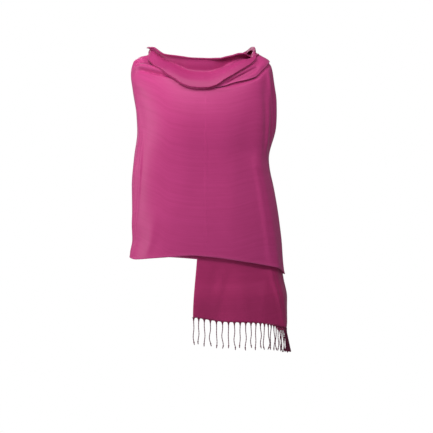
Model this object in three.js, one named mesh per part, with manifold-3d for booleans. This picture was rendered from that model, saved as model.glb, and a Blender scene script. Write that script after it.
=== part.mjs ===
// A pashmina shawl of fine plain cloth, 700 mm by 2000 mm with a fringe at each end, worn as a wrap.
// One end hangs in front at the right of the view. From it the cloth goes round the back, comes over
// the far shoulder, crosses the front with its upper edge turned down as a cowl, and ends at the back.
// Sizes are in millimetres. Z is up, the front looks along -Y, and the origin is midway between the
// shoulders, on the line where the cloth is carried.

import * as THREE from 'three';
import { mergeVertices } from 'three/addons/utils/BufferGeometryUtils.js';
import Module from 'manifold-3d';

const wasm = await Module();
wasm.setup();

// Cloth
const clothWall = 1.2; // thickness of one layer
const seamGap = 0.4; // between the cloth's edge and its fringe strip
const seamAngle = 0.3; // degrees between two stretches of the same cloth, about 0.7 mm
const panelRows = 18; // steps down every panel, closer together over the shoulder
const rowCrowding = 1.45; // 1 would space them evenly
const layerStep = 7; // from the middle of one layer to the middle of the next
const tailFree = 5; // the hanging end comes this far back out below the front panel's hem
const freeFrom = 650; // between these two drops
const freeBy = 710;
const rimHeight = -4; // height of the upper edge at the centre of the front

// Fringe
const strandLength = 80;
const strandShorter = 14; // by this much round the side, where the strands curl under
const strandRadius = 1.35;
const strandCount = 46; // at each end
const stripHeight = 4; // the strip that the strands are rooted in
const stripWall = 3;
const tailColumns = 22; // steps across the hanging end and its strip
const strandLean = 16; // degrees that the strands swing out round the side
const strandDroop = 52; // degrees that the strands of the back fringe fall below the level
const rootDepth = 1.6; // how far below the strip's top a strand starts
const stripAngle = 1.4; // degrees that the strip of the back fringe takes
const stripRowsAbove = 2; // it starts this many of the panel's rows below the neck

// Limits round the form, in degrees from the centre of the front, positive to the right of the view
const leftSeam = -93; // front panel and back panel meet at the left side
const rightSeam = 84; // front panel and wrapped end meet at the right side
const endEdge = 139; // where the wrapped end stops at the back
const tailSeam = 128; // hanging end and back panel meet under the wrapped end
const cowlFrom = -88;
const cowlTo = 80;
const foldFrom = 8; // the fold over the right shoulder
const foldTo = 87;
const neckFrom = 88.6; // the neck fold goes on from the cowl round the back
const neckTo = 269;
const turn = 360;

// The hollow form that the cloth keeps, one row for each ring going down. `drop` is the distance below
// the upper edge at the front, `lift` is how much higher the ring is at the sides, then come the reach
// to the left, right, front and back, and how square the ring is (2 is an ellipse).
const formRings = [
  { drop: 0, lift: 20, left: 157, right: 159, front: 80, back: 92, square: 2.2 },
  { drop: 20, lift: 38, left: 164, right: 162, front: 93, back: 101, square: 2.2 },
  { drop: 40, lift: 52, left: 188, right: 177, front: 103, back: 107, square: 2.2 },
  { drop: 60, lift: 57, left: 206, right: 201, front: 110, back: 111, square: 2.3 },
  { drop: 88, lift: 51, left: 213, right: 208, front: 117, back: 114, square: 2.35 },
  { drop: 130, lift: 38, left: 207, right: 206, front: 123, back: 117, square: 2.4 },
  { drop: 180, lift: 22, left: 196, right: 207, front: 126, back: 118, square: 2.5 },
  { drop: 225, lift: 12, left: 192, right: 204, front: 125, back: 117, square: 2.6 },
  { drop: 290, lift: 3, left: 201, right: 198, front: 119, back: 114, square: 2.7 },
  { drop: 380, lift: 0, left: 208, right: 213, front: 114, back: 113, square: 2.7 },
  { drop: 480, lift: 0, left: 208, right: 229, front: 112, back: 114, square: 2.7 },
  { drop: 535, lift: 0, left: 205, right: 236, front: 112, back: 115, square: 2.75 },
  { drop: 590, lift: 0, left: 214, right: 241, front: 112, back: 116, square: 2.8 },
  { drop: 700, lift: 0, left: 213, right: 255, front: 109, back: 116, square: 3.0 },
  { drop: 815, lift: 0, left: 213, right: 260, front: 105, back: 115, square: 3.3 },
];

// Largest folds of the hanging cloth. Each runs from one angle and drop to another, with a height that
// is negative for a trough, and a width across.
const girth = 3.1; // mm of cloth for one degree round the form
const foldFade = 0.6; // a fold fades this much slower past its ends than across
const folds = [
  { fromAngle: -66, fromDrop: 170, toAngle: -63, toDrop: 330, height: 4, width: 17 },
  { fromAngle: -63, fromDrop: 330, toAngle: -74, toDrop: 560, height: 4.5, width: 19 },
  { fromAngle: 68, fromDrop: 100, toAngle: 66, toDrop: 250, height: 4, width: 14 },
  { fromAngle: 90, fromDrop: 154, toAngle: 90, toDrop: 205, height: 17, width: 34 },
  { fromAngle: 50, fromDrop: 320, toAngle: 55, toDrop: 600, height: 6, width: 24 },
  { fromAngle: 40, fromDrop: 190, toAngle: 36, toDrop: 260, height: -4, width: 34 },
  { fromAngle: -64, fromDrop: 61, toAngle: -34, toDrop: 54, height: 5, width: 8 },
  { fromAngle: -60, fromDrop: 76, toAngle: -34, toDrop: 68, height: -3, width: 8 },
  { fromAngle: 52, fromDrop: 640, toAngle: 62, toDrop: 800, height: 6, width: 24 },
  { fromAngle: 12, fromDrop: 660, toAngle: 8, toDrop: 800, height: -5, width: 26 },
  { fromAngle: 118, fromDrop: 300, toAngle: 112, toDrop: 780, height: 8, width: 22 },
  { fromAngle: 152, fromDrop: 200, toAngle: 146, toDrop: 620, height: 9, width: 24 },
  { fromAngle: 176, fromDrop: 120, toAngle: 172, toDrop: 560, height: -6, width: 28 },
  { fromAngle: 203, fromDrop: 170, toAngle: 208, toDrop: 590, height: 7, width: 26 },
  { fromAngle: 236, fromDrop: 110, toAngle: 232, toDrop: 470, height: -5, width: 30 },
];

// Lower edges, as drops at angles round the form
const frontHem = [
  { angle: -93, drop: 575 },
  { angle: -80, drop: 584 },
  { angle: -58, drop: 593 },
  { angle: -30, drop: 587 },
  { angle: -8, drop: 581 },
  { angle: 8, drop: 586 },
  { angle: 30, drop: 600 },
  { angle: 60, drop: 622 },
  { angle: 84, drop: 637 },
  { angle: 139, drop: 641 },
];
const tailHem = [
  { angle: -8, drop: 764 },
  { angle: 14, drop: 777 },
  { angle: 34, drop: 780 },
  { angle: 60, drop: 796 },
  { angle: 84, drop: 804 },
  { angle: 128, drop: 810 },
];
const backHem = [
  { angle: 128, drop: 810 },
  { angle: 140, drop: 690 },
  { angle: 156, drop: 618 },
  { angle: 185, drop: 596 },
  { angle: 225, drop: 586 },
  { angle: 267, drop: 575 },
];

// Inner edge of the hanging end, as angles at drops
const tailEdge = [
  { drop: 0, angle: 38 },
  { drop: 150, angle: 14 },
  { drop: 330, angle: 0 },
  { drop: 600, angle: -3.5 },
  { drop: 800, angle: -7 },
];

// The cowl: where its lower edge lies at each angle, how full its roll is, how far out it rides on
// what lies under it, and how much its rim rises above the form's
const cowlEdge = [
  { angle: -88, drop: 8, fullness: 0.3, ride: 2.4, rise: 20 },
  { angle: -74, drop: 16, fullness: 0.4, ride: 2.6, rise: 22 },
  { angle: -60, drop: 28, fullness: 0.45, ride: 3, rise: 18 },
  { angle: -48, drop: 42, fullness: 0.6, ride: 3, rise: 12 },
  { angle: -36, drop: 51, fullness: 0.75, ride: 3, rise: 8 },
  { angle: -28, drop: 60, fullness: 0.9, ride: 3, rise: 5 },
  { angle: -15, drop: 79, fullness: 1, ride: 3, rise: 1 },
  { angle: -4, drop: 88, fullness: 1, ride: 3, rise: 0 },
  { angle: 6, drop: 86, fullness: 1, ride: 5, rise: 0 },
  { angle: 18, drop: 69, fullness: 0.95, ride: 8, rise: 0 },
  { angle: 30, drop: 58, fullness: 0.85, ride: 9, rise: 1 },
  { angle: 47, drop: 49, fullness: 0.7, ride: 9, rise: 8 },
  { angle: 60, drop: 39, fullness: 0.55, ride: 9, rise: 3 },
  { angle: 80, drop: 20, fullness: 0.35, ride: 6, rise: 1 },
];

// Across the cowl from its start above the front panel to its lower edge: how far down as a share of
// the edge's drop, how far up the lip stands in mm, and how far out in mm
const cowlProfile = [
  { across: 0, down: 0, up: 1.3, out: 0 },
  { across: 0.09, down: 0, up: 3.4, out: 3 },
  { across: 0.18, down: 0, up: 3, out: 10 },
  { across: 0.28, down: 0.06, up: 0, out: 13 },
  { across: 0.42, down: 0.22, up: 0, out: 9 },
  { across: 0.6, down: 0.48, up: 0, out: 15 },
  { across: 0.76, down: 0.72, up: 0, out: 20 },
  { across: 0.9, down: 0.93, up: 0, out: 16 },
  { across: 1, down: 1, up: 0, out: 7 },
];

// The fold over the right shoulder, between the cowl and its own lower edge
const shoulderFoldEdge = [
  { angle: 8, from: 64, to: 89 },
  { angle: 18, from: 54, to: 85 },
  { angle: 31, from: 44, to: 78 },
  { angle: 46, from: 36, to: 77 },
  { angle: 57, from: 28, to: 68 },
  { angle: 74, from: 20, to: 62 },
  { angle: 87, from: 18, to: 60 },
];

// The turned-down edge at the back of the neck: its height above the back panel, its depth and how
// full its roll is
const neckFoldEdge = [
  { angle: 88, stand: 14, drop: 16, fullness: 0.2 },
  { angle: 104, stand: 27, drop: 32, fullness: 0.45 },
  { angle: 116, stand: 31, drop: 42, fullness: 0.6 },
  { angle: 124, stand: 25, drop: 47, fullness: 0.75 },
  { angle: 140, stand: 17, drop: 54, fullness: 1 },
  { angle: 180, stand: 4, drop: 60, fullness: 1 },
  { angle: 220, stand: 9, drop: 54, fullness: 1 },
  { angle: 238, stand: 17, drop: 46, fullness: 0.7 },
  { angle: 256, stand: 23, drop: 32, fullness: 0.45 },
  { angle: 272, stand: 22, drop: 16, fullness: 0.2 },
];
const neckProfile = [
  { across: 0, down: 0, up: 0, out: 0 },
  { across: 0.2, down: 0, up: 1, out: 1.5 },
  { across: 0.36, down: 0, up: 0.8, out: 8 },
  { across: 0.55, down: 0.2, up: 0, out: 12 },
  { across: 0.8, down: 0.7, up: 0, out: 13 },
  { across: 1, down: 1, up: 0, out: 6 },
];

const shawlPink = 0xb23a78;
const shawlShade = 0x9c2f68;

function radians(degrees) {
  return THREE.MathUtils.degToRad(degrees);
}

// Smooth value of a column at a place in a table, with level ends and no overshoot
function along(table, key, column, place) {
  const last = table.length - 1;
  const at = THREE.MathUtils.clamp(place, table[0][key], table[last][key]);
  let row = 0;
  while (row < last - 1 && table[row + 1][key] < at) row += 1;
  const chord = (from, to) => (to[column] - from[column]) / (to[key] - from[key]);
  const slope = (index) => {
    if (index <= 0 || index >= last) return 0;
    const before = chord(table[index - 1], table[index]);
    const after = chord(table[index], table[index + 1]);
    return before * after <= 0 ? 0 : (2 * before * after) / (before + after);
  };
  const span = table[row + 1][key] - table[row][key];
  const part = (at - table[row][key]) / span;
  const square = part * part;
  const cube = square * part;
  return table[row][column] * (2 * cube - 3 * square + 1)
    + slope(row) * span * (cube - 2 * square + part)
    + table[row + 1][column] * (3 * square - 2 * cube)
    + slope(row + 1) * span * (cube - square);
}

// Drop of a panel's row, given the row as a share of all and the drop of the panel's lower edge
function rowDrop(down, edge) {
  return edge * down ** rowCrowding;
}

// Angle brought to between -180 and 180 degrees
function wrapped(angle) {
  return angle > turn / 2 ? angle - turn : angle;
}

// Point of the smooth hollow form: an oval ring whose corners are as square as its row says
function formPoint(angle, drop) {
  const sine = Math.sin(radians(angle));
  const cosine = Math.cos(radians(angle));
  const square = along(formRings, 'drop', 'square', drop);
  const reach = (Math.abs(sine) ** square + Math.abs(cosine) ** square) ** (-1 / square);
  const side = along(formRings, 'drop', sine < 0 ? 'left' : 'right', drop);
  const depth = along(formRings, 'drop', cosine < 0 ? 'back' : 'front', drop);
  const lift = along(formRings, 'drop', 'lift', drop) * Math.abs(sine) ** 2.5;
  return new THREE.Vector3(side * reach * sine, -depth * reach * cosine, rimHeight - drop + lift);
}

// Height of all folds at a place: each is a soft ridge round its line, fading past the line's ends
function foldHeight(angle, drop) {
  let total = 0;
  for (const fold of folds) {
    const startAngle = wrapped(fold.fromAngle);
    const runAround = (fold.toAngle - fold.fromAngle) * girth;
    const runDown = fold.toDrop - fold.fromDrop;
    const aroundFrom = wrapped(((angle - startAngle + turn + turn / 2) % turn) - turn / 2) * girth;
    const downFrom = drop - fold.fromDrop;
    const length = runAround * runAround + runDown * runDown;
    const part = THREE.MathUtils.clamp((aroundFrom * runAround + downFrom * runDown) / length, 0, 1);
    const across = Math.hypot(aroundFrom - part * runAround, (downFrom - part * runDown) * foldFade);
    total += fold.height * Math.exp(-((across / fold.width) ** 2));
  }
  return total;
}

// Outward direction of the form
function formNormal(angle, drop) {
  const around = formPoint(angle + 0.5, drop).sub(formPoint(angle - 0.5, drop));
  const down = formPoint(angle, drop + 1).sub(formPoint(angle, Math.max(drop - 1, 0)));
  return down.cross(around).normalize();
}

// Point of a layer of cloth that lies `out` from the form, folds included
function clothPoint(angle, drop, out) {
  const lying = formPoint(angle, drop);
  return lying.addScaledVector(formNormal(angle, drop), out + foldHeight(angle, drop));
}

// Direction straight out from a sheet at a place on it
function sheetNormal(place, across, down) {
  const step = 0.004;
  const side = place(Math.min(across + step, 1), down).sub(place(Math.max(across - step, 0), down));
  const fall = place(across, Math.min(down + step, 1)).sub(place(across, Math.max(down - step, 0)));
  return fall.cross(side).normalize();
}

// Closed wall of cloth: the sheet's points moved half a wall out and half a wall in, joined all round
function wallGeometry(place, columns, rows, wall = clothWall) {
  const outer = [];
  const inner = [];
  for (let column = 0; column <= columns; column += 1) {
    for (let row = 0; row <= rows; row += 1) {
      const middle = place(column / columns, row / rows);
      const normal = sheetNormal(place, column / columns, row / rows);
      outer.push(...middle.clone().addScaledVector(normal, wall / 2).toArray());
      inner.push(...middle.clone().addScaledVector(normal, -wall / 2).toArray());
    }
  }
  const count = (columns + 1) * (rows + 1);
  const at = (column, row) => column * (rows + 1) + row;
  const index = [];
  const quad = (a, b, c, d) => index.push(a, b, c, a, c, d);
  for (let column = 0; column < columns; column += 1) {
    for (let row = 0; row < rows; row += 1) {
      const a = at(column, row);
      const b = at(column, row + 1);
      const c = at(column + 1, row + 1);
      const d = at(column + 1, row);
      quad(a, b, c, d);
      quad(d + count, c + count, b + count, a + count);
    }
  }
  for (let column = 0; column < columns; column += 1) {
    quad(at(column, 0), at(column + 1, 0), at(column + 1, 0) + count, at(column, 0) + count);
    quad(at(column + 1, rows), at(column, rows), at(column, rows) + count, at(column + 1, rows) + count);
  }
  for (let row = 0; row < rows; row += 1) {
    quad(at(0, row + 1), at(0, row), at(0, row) + count, at(0, row + 1) + count);
    quad(at(columns, row), at(columns, row + 1), at(columns, row + 1) + count, at(columns, row) + count);
  }
  const geometry = new THREE.BufferGeometry();
  geometry.setAttribute('position', new THREE.Float32BufferAttribute([...outer, ...inner], 3));
  geometry.setIndex(index);
  geometry.computeVertexNormals();
  return geometry;
}

function clothMesh(name, colour, geometry) {
  const material = new THREE.MeshStandardMaterial({ color: colour, roughness: 0.85, metalness: 0 });
  const mesh = new THREE.Mesh(geometry, material);
  mesh.name = name;
  return mesh;
}

// Front panel: across the front from the left side to the right side, from the cowl to the hem
function frontPanel() {
  const place = (across, down) => {
    const angle = THREE.MathUtils.lerp(leftSeam, rightSeam, across);
    return clothPoint(angle, rowDrop(down, along(frontHem, 'angle', 'drop', angle)), 0);
  };
  return clothMesh('front_panel', shawlPink, wallGeometry(place, 30, panelRows));
}

// Wrapped end: carries on from the front panel round the right side to the back
function wrappedEnd() {
  const place = (across, down) => {
    const angle = THREE.MathUtils.lerp(rightSeam + seamAngle, endEdge, across);
    return clothPoint(angle, rowDrop(down, along(frontHem, 'angle', 'drop', angle)), 0);
  };
  return clothMesh('wrapped_end', shawlPink, wallGeometry(place, 10, panelRows));
}

// Angle of a place across the hanging end, from its inner edge to the seam with the back panel
function tailAngle(across, down) {
  const edgeAngle = along(tailEdge, 'drop', 'angle', rowDrop(down, tailEdge.at(-1).drop));
  return THREE.MathUtils.lerp(edgeAngle, tailSeam, across);
}

// How far out the under layer lies: one step in, then freer below the front panel's hem
function underLayer(drop) {
  return -layerStep + tailFree * THREE.MathUtils.smoothstep(drop, freeFrom, freeBy);
}

function tailPoint(angle, drop) {
  return clothPoint(angle, drop, underLayer(drop));
}

// Hanging end: under the front panel and the wrapped end, down to the front fringe
function hangingPoint(across, down) {
  const angle = tailAngle(across, down);
  return tailPoint(angle, rowDrop(down, along(tailHem, 'angle', 'drop', angle)));
}

function hangingEnd() {
  return clothMesh('hanging_end', shawlShade, wallGeometry(hangingPoint, tailColumns, panelRows));
}

// Back panel: from under the wrapped end round the back to the left side, where it meets the front
function backPanel() {
  const place = (across, down) => {
    const angle = THREE.MathUtils.lerp(tailSeam + seamAngle, turn + leftSeam - seamAngle, across);
    const under = 1 - THREE.MathUtils.smoothstep(angle, 150, 225);
    const drop = rowDrop(down, along(backHem, 'angle', 'drop', angle));
    return clothPoint(angle, drop, underLayer(drop) * under);
  };
  return clothMesh('back_panel', shawlPink, wallGeometry(place, 24, panelRows));
}

// Cowl: the upper edge turned over the rim and down over the front panel, as a soft roll
function cowlPoint(across, down) {
  const angle = THREE.MathUtils.lerp(cowlFrom, cowlTo, across);
  const edge = along(cowlEdge, 'angle', 'drop', angle);
  const fullness = along(cowlEdge, 'angle', 'fullness', angle);
  const ride = along(cowlEdge, 'angle', 'ride', angle);
  const drop = edge * along(cowlProfile, 'across', 'down', down);
  const settled = THREE.MathUtils.smoothstep(down, 0, 0.2);
  const out = along(cowlProfile, 'across', 'out', down) * fullness + ride * settled;
  const point = clothPoint(angle, drop, out);
  const rise = along(cowlEdge, 'angle', 'rise', angle) * (1 - THREE.MathUtils.smoothstep(down, 0.3, 1));
  point.z += along(cowlProfile, 'across', 'up', down) + Math.max(rise, 0);
  return point;
}

function cowl() {
  return clothMesh('cowl', shawlPink, wallGeometry(cowlPoint, 32, 10));
}

// Shoulder fold: the band of cloth that shows under the cowl at the right
function shoulderFold() {
  const place = (across, down) => {
    const angle = THREE.MathUtils.lerp(foldFrom, foldTo, across);
    const from = along(shoulderFoldEdge, 'angle', 'from', angle);
    const to = along(shoulderFoldEdge, 'angle', 'to', angle);
    const roll = 4 + 3 * Math.sin(Math.PI * Math.min(down * 1.1, 1));
    const settling = 1 - 0.54 * across - 0.14 * across * (1 - down); // it rests at its upper right corner
    return clothPoint(angle, THREE.MathUtils.lerp(from, to, down), roll * settling);
  };
  return clothMesh('shoulder_fold', shawlPink, wallGeometry(place, 18, 6));
}

// Neck fold: the upper edge turned down round the back of the neck, standing up over the shoulders
function neckFold() {
  const place = (across, down) => {
    const angle = THREE.MathUtils.lerp(neckFrom, neckTo, across);
    const edge = along(neckFoldEdge, 'angle', 'drop', angle);
    const stand = along(neckFoldEdge, 'angle', 'stand', angle);
    const drop = edge * along(neckProfile, 'across', 'down', down);
    const fullness = along(neckFoldEdge, 'angle', 'fullness', angle);
    const point = clothPoint(angle, drop, fullness * along(neckProfile, 'across', 'out', down));
    point.z += 1.6 + stand * along(neckProfile, 'across', 'up', down);
    return point;
  };
  return clothMesh('neck_fold', shawlPink, wallGeometry(place, 24, 6));
}

function solidOf(geometry) {
  const bare = geometry.clone();
  bare.deleteAttribute('normal');
  bare.deleteAttribute('uv');
  const merged = mergeVertices(bare, 1e-4);
  const mesh = new wasm.Mesh({
    numProp: 3,
    vertProperties: new Float32Array(merged.attributes.position.array),
    triVerts: new Uint32Array(merged.index.array),
  });
  return new wasm.Manifold(mesh);
}

function geometryOf(solid) {
  const mesh = solid.getMesh();
  const geometry = new THREE.BufferGeometry();
  geometry.setAttribute('position', new THREE.Float32BufferAttribute(mesh.vertProperties, 3));
  geometry.setIndex(Array.from(mesh.triVerts));
  geometry.computeVertexNormals();
  return geometry;
}

// One strand: a slim three-sided rod along its points, narrow at the root and closed at both ends
function strandGeometry(points, sideways) {
  const sides = 3;
  const position = [];
  const index = [];
  points.forEach((point, step) => {
    const before = points[Math.max(step - 1, 0)];
    const after = points[Math.min(step + 1, points.length - 1)];
    const forward = after.clone().sub(before).normalize();
    const out = forward.clone().cross(sideways).normalize();
    const wide = out.clone().cross(forward).normalize();
    for (let side = 0; side < sides; side += 1) {
      const bearing = (side / sides) * 2 * Math.PI;
      const corner = point.clone().addScaledVector(wide, strandRadius * Math.cos(bearing));
      corner.addScaledVector(out, strandRadius * Math.sin(bearing));
      position.push(...corner.toArray());
    }
  });
  const last = (points.length - 1) * sides;
  for (let step = 0; step < points.length - 1; step += 1) {
    for (let side = 0; side < sides; side += 1) {
      const a = step * sides + side;
      const b = step * sides + ((side + 1) % sides);
      index.push(a, b, b + sides, a, b + sides, a + sides);
    }
  }
  index.push(0, 2, 1, last, last + 1, last + 2);
  const geometry = new THREE.BufferGeometry();
  geometry.setAttribute('position', new THREE.Float32BufferAttribute(position, 3));
  geometry.setIndex(index);
  return geometry;
}

// A fringe: the strip along the cloth's edge with every strand rooted in it
function fringe(name, strip, strandPoints) {
  let solid = solidOf(strip);
  for (let strand = 0; strand < strandCount; strand += 1) {
    const { points, sideways } = strandPoints(strand);
    solid = solid.add(solidOf(strandGeometry(points, sideways)));
  }
  return clothMesh(name, shawlShade, geometryOf(solid));
}

// Small uneven number for a strand, the same each time, between -1 and 1
function uneven(strand, salt) {
  return Math.sin(strand * 12.9 + salt * 4.7) * Math.cos(strand * 3.3 + salt * 1.9);
}

// Front fringe: strands fall from the lower edge of the hanging end
function frontFringe() {
  const edgeDrop = (angle) => along(tailHem, 'angle', 'drop', angle);
  const edgeAngle = (across) => tailAngle(across, 1);
  const stripPlace = (across, down) => {
    const angle = edgeAngle(across);
    return tailPoint(angle, edgeDrop(angle) + seamGap + stripHeight * down);
  };
  const strandPoints = (strand) => {
    const share = (strand + 0.15) / strandCount;
    const across = share + 0.06 * Math.sin(2 * Math.PI * share);
    const angle = edgeAngle(across);
    const root = tailPoint(angle, edgeDrop(angle) + seamGap + rootDepth);
    const outward = formNormal(angle, edgeDrop(angle));
    const sideways = new THREE.Vector3(-outward.y, outward.x, 0).normalize();
    const lean = Math.tan(radians(strandLean)) * THREE.MathUtils.smoothstep(angle, 60, 100);
    const length = strandLength - strandShorter * THREE.MathUtils.smoothstep(angle, 20, 90);
    const points = [0, 0.28, 0.64, 1].map((part) => {
      const fall = root.clone();
      fall.z -= part * length * (1 + 0.05 * uneven(strand, 1));
      fall.addScaledVector(sideways, part * 4 * uneven(strand, 2) * Math.sin(3 * part));
      fall.addScaledVector(outward, part * strandLength * lean + part * 2 * uneven(strand, 3));
      return fall;
    });
    return { points, sideways };
  };
  const strip = wallGeometry(stripPlace, tailColumns, 1, stripWall);
  return fringe('front_fringe', strip, strandPoints);
}

// Back fringe: strands droop from the upright edge of the wrapped end, one beside the next
function backFringe() {
  const stripFrom = endEdge + 0.7;
  const bottom = along(frontHem, 'angle', 'drop', endEdge);
  const above = stripRowsAbove / panelRows;
  const stripDrop = (down) => rowDrop(THREE.MathUtils.lerp(above, 1, down), bottom);
  const stripPlace = (across, down) => clothPoint(stripFrom + stripAngle * across, stripDrop(down), 0);
  const sideways = new THREE.Vector3(0, 0, 1);
  const strandPoints = (strand) => {
    const drop = THREE.MathUtils.lerp(stripDrop(0) + 4, bottom - 3, strand / (strandCount - 1));
    const slope = radians(strandDroop + 5 * uneven(strand, 4));
    const points = [0, 0.3, 0.65, 1].map((part) => {
      const bend = slope * (0.55 + 0.45 * Math.sqrt(part));
      const reach = part * strandLength * (1 + 0.05 * uneven(strand, 5));
      const angle = stripFrom + 0.5 + (reach * Math.cos(bend)) / girth;
      return clothPoint(angle, drop + reach * Math.sin(bend), 1.6 * part);
    });
    return { points, sideways };
  };
  const strip = wallGeometry(stripPlace, 1, panelRows - stripRowsAbove, stripWall);
  return fringe('back_fringe', strip, strandPoints);
}

const group = new THREE.Group();
group.add(
  frontPanel(),
  wrappedEnd(),
  hangingEnd(),
  backPanel(),
  cowl(),
  shoulderFold(),
  neckFold(),
  frontFringe(),
  backFringe(),
);

export default group;
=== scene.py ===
# Pashmina shawl of fine plain cloth with a fringe at each end, kept in the form in which it is worn
# as a wrap. Every stretch of the one cloth is a thin sheet laid on the same hollow form. Tables are in
# millimetres and degrees: an angle is taken round the form from the centre of the front, positive to
# the right of the view, and a drop is the way down from the form's upper edge.

import math
import bpy
import numpy as np
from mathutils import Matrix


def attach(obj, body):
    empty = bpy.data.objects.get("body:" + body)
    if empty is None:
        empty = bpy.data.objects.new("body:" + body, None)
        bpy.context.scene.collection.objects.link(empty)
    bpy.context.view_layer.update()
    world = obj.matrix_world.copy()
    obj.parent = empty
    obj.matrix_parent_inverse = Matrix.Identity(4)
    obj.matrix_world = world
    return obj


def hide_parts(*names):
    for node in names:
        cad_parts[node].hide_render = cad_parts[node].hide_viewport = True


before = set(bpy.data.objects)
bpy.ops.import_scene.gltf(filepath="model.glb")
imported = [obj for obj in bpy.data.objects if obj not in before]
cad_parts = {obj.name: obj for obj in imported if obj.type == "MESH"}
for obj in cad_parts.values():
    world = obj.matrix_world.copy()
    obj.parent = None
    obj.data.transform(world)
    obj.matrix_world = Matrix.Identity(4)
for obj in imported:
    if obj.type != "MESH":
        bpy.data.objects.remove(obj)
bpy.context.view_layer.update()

metre = 0.001  # the tables' millimetres in metres
selvedge = 5  # millimetres along an edge that take a lighter tint: denser selvedge cloth, and painted highlight where the edge catches light

# The hollow form: one column for each ring going down. The ring at a drop is lifted at its sides,
# reaches so far left, right, front and back, and is as square as its last row says.
form = {
    "drop": [0, 20, 40, 60, 88, 130, 180, 225, 290, 380, 480, 535, 590, 700, 815],
    "lift": [20, 38, 52, 57, 51, 38, 22, 12, 3, 0, 0, 0, 0, 0, 0],
    "left": [157, 164, 188, 206, 213, 207, 196, 192, 201, 208, 208, 205, 214, 213, 213],
    "right": [159, 162, 177, 201, 208, 206, 207, 204, 198, 213, 229, 236, 241, 255, 260],
    "front": [80, 93, 103, 110, 117, 123, 126, 125, 119, 114, 112, 112, 112, 109, 105],
    "back": [92, 101, 107, 111, 114, 117, 118, 117, 114, 113, 114, 115, 116, 116, 115],
    "square": [2.2, 2.2, 2.2, 2.3, 2.35, 2.4, 2.5, 2.6, 2.7, 2.7, 2.7, 2.75, 2.8, 3.0, 3.3],
    "rimHeight": -4,
    "girth": 3.1,  # millimetres of cloth for one degree
    "liftPower": 2.5,  # how far towards the sides a ring's lift keeps
    "foldStretch": 0.6,  # a large fold reaches further down than round
    # large folds: from angle and drop, to angle and drop, height, width
    "folds": [
        (-66, 170, -63, 330, 4, 17),
        (-63, 330, -74, 560, 4.5, 19),
        (68, 100, 66, 250, 4, 14),
        (90, 154, 90, 205, 17, 34),
        (50, 320, 55, 600, 6, 24),
        (40, 190, 36, 260, -4, 34),
        (-64, 61, -34, 54, 5, 8),
        (-60, 74, -34, 66, -2, 8),
        (52, 640, 62, 800, 6, 24),
        (12, 660, 8, 800, -5, 26),
        (118, 300, 112, 780, 8, 22),
        (152, 200, 146, 620, 9, 24),
        (176, 120, 172, 560, -6, 28),
        (203, 170, 208, 590, 7, 26),
        (236, 110, 232, 470, -5, 30),
        (-30, 160, 34, 160, 4, 60),
        (-30, 345, 32, 345, -5, 80),
    ],
    # waves of the cloth's slow drift: height, length round, length down, part of the sheet's own shift
    "drift": [(0.35, 31, 67, 1), (0.3, 19, -90, 2.1), (0.2, 140, 23, 0.7)],
}

# A crease: height left at its ends, how it swells between them, how far past them it dies out
# (in widths), and how much narrower its steep side is
creaseForm = {"ends": 0.35, "swellPower": 0.8, "past": 1.6, "steepSide": 0.5}


# Smooth curve through a table's places and values: a cubic between each two, whose slope at a row is
# the harmonic mean of the slopes on both sides, level at the ends and held beyond them
def curveAt(places, values, at):
    x = np.asarray(places, float)
    y = np.asarray(values, float)
    chord = np.diff(y) / np.diff(x)
    before, after = chord[:-1], chord[1:]
    agree = before * after > 0
    slope = np.zeros(len(x))
    slope[1:-1] = np.where(agree, 2 * before * after / np.where(agree, before + after, 1), 0)
    at = np.clip(at, x[0], x[-1])
    row = np.clip(np.searchsorted(x, at, side="right") - 1, 0, len(x) - 2)
    span = x[row + 1] - x[row]
    part = (at - x[row]) / span
    square, cube = part**2, part**3
    return (
        y[row] * (2 * cube - 3 * square + 1)
        + slope[row] * span * (cube - 2 * square + part)
        + y[row + 1] * (3 * square - 2 * cube)
        + slope[row + 1] * span * (cube - square)
    )


# Smooth step from 0 to 1 between two places
def easeBetween(start, end, at):
    part = np.clip((at - start) / (end - start), 0, 1)
    return part * part * (3 - 2 * part)


# Point of the form: a ring of reach (|sin|^square + |cos|^square)^(-1/square), lifted by |sin|^2.5
def formPoint(angle, drop):
    turn = np.radians(angle)
    sine, cosine = np.sin(turn), np.cos(turn)
    ring = {
        key: curveAt(form["drop"], form[key], drop)
        for key in ("lift", "left", "right", "front", "back", "square")
    }
    square = ring["square"]
    reach = (np.abs(sine) ** square + np.abs(cosine) ** square) ** (-1 / square)
    side = np.where(sine < 0, ring["left"], ring["right"])
    depth = np.where(cosine < 0, ring["back"], ring["front"])
    height = form["rimHeight"] - drop + ring["lift"] * np.abs(sine) ** form["liftPower"]
    return np.stack([side * reach * sine, -depth * reach * cosine, height], -1)


# Way out from the form: the cross product of its slopes down and round
def formNormal(angle, drop):
    around = formPoint(angle + 0.5, drop) - formPoint(angle - 0.5, drop)
    down = formPoint(angle, drop + 1) - formPoint(angle, np.maximum(drop - 1, 0))
    normal = np.cross(down, around)
    return normal / np.linalg.norm(normal, axis=-1, keepdims=True)


# Millimetres round the form from one angle to another, the short way
def aroundFrom(angle, start):
    return ((angle - start + 180) % 360 - 180) * form["girth"]


# Height of the large folds: height * exp(-(distance from the fold's line / width)^2), summed
def foldHeight(angle, drop):
    total = np.zeros(np.broadcast(angle, drop).shape)
    for fromAngle, fromDrop, toAngle, toDrop, height, width in form["folds"]:
        runAround = (toAngle - fromAngle) * form["girth"]
        runDown = toDrop - fromDrop
        around, down = aroundFrom(angle, fromAngle), drop - fromDrop
        part = np.clip((around * runAround + down * runDown) / (runAround**2 + runDown**2), 0, 1)
        across = np.hypot(around - part * runAround, (down - part * runDown) * form["foldStretch"])
        total += height * np.exp(-((across / width) ** 2))
    return total


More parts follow.
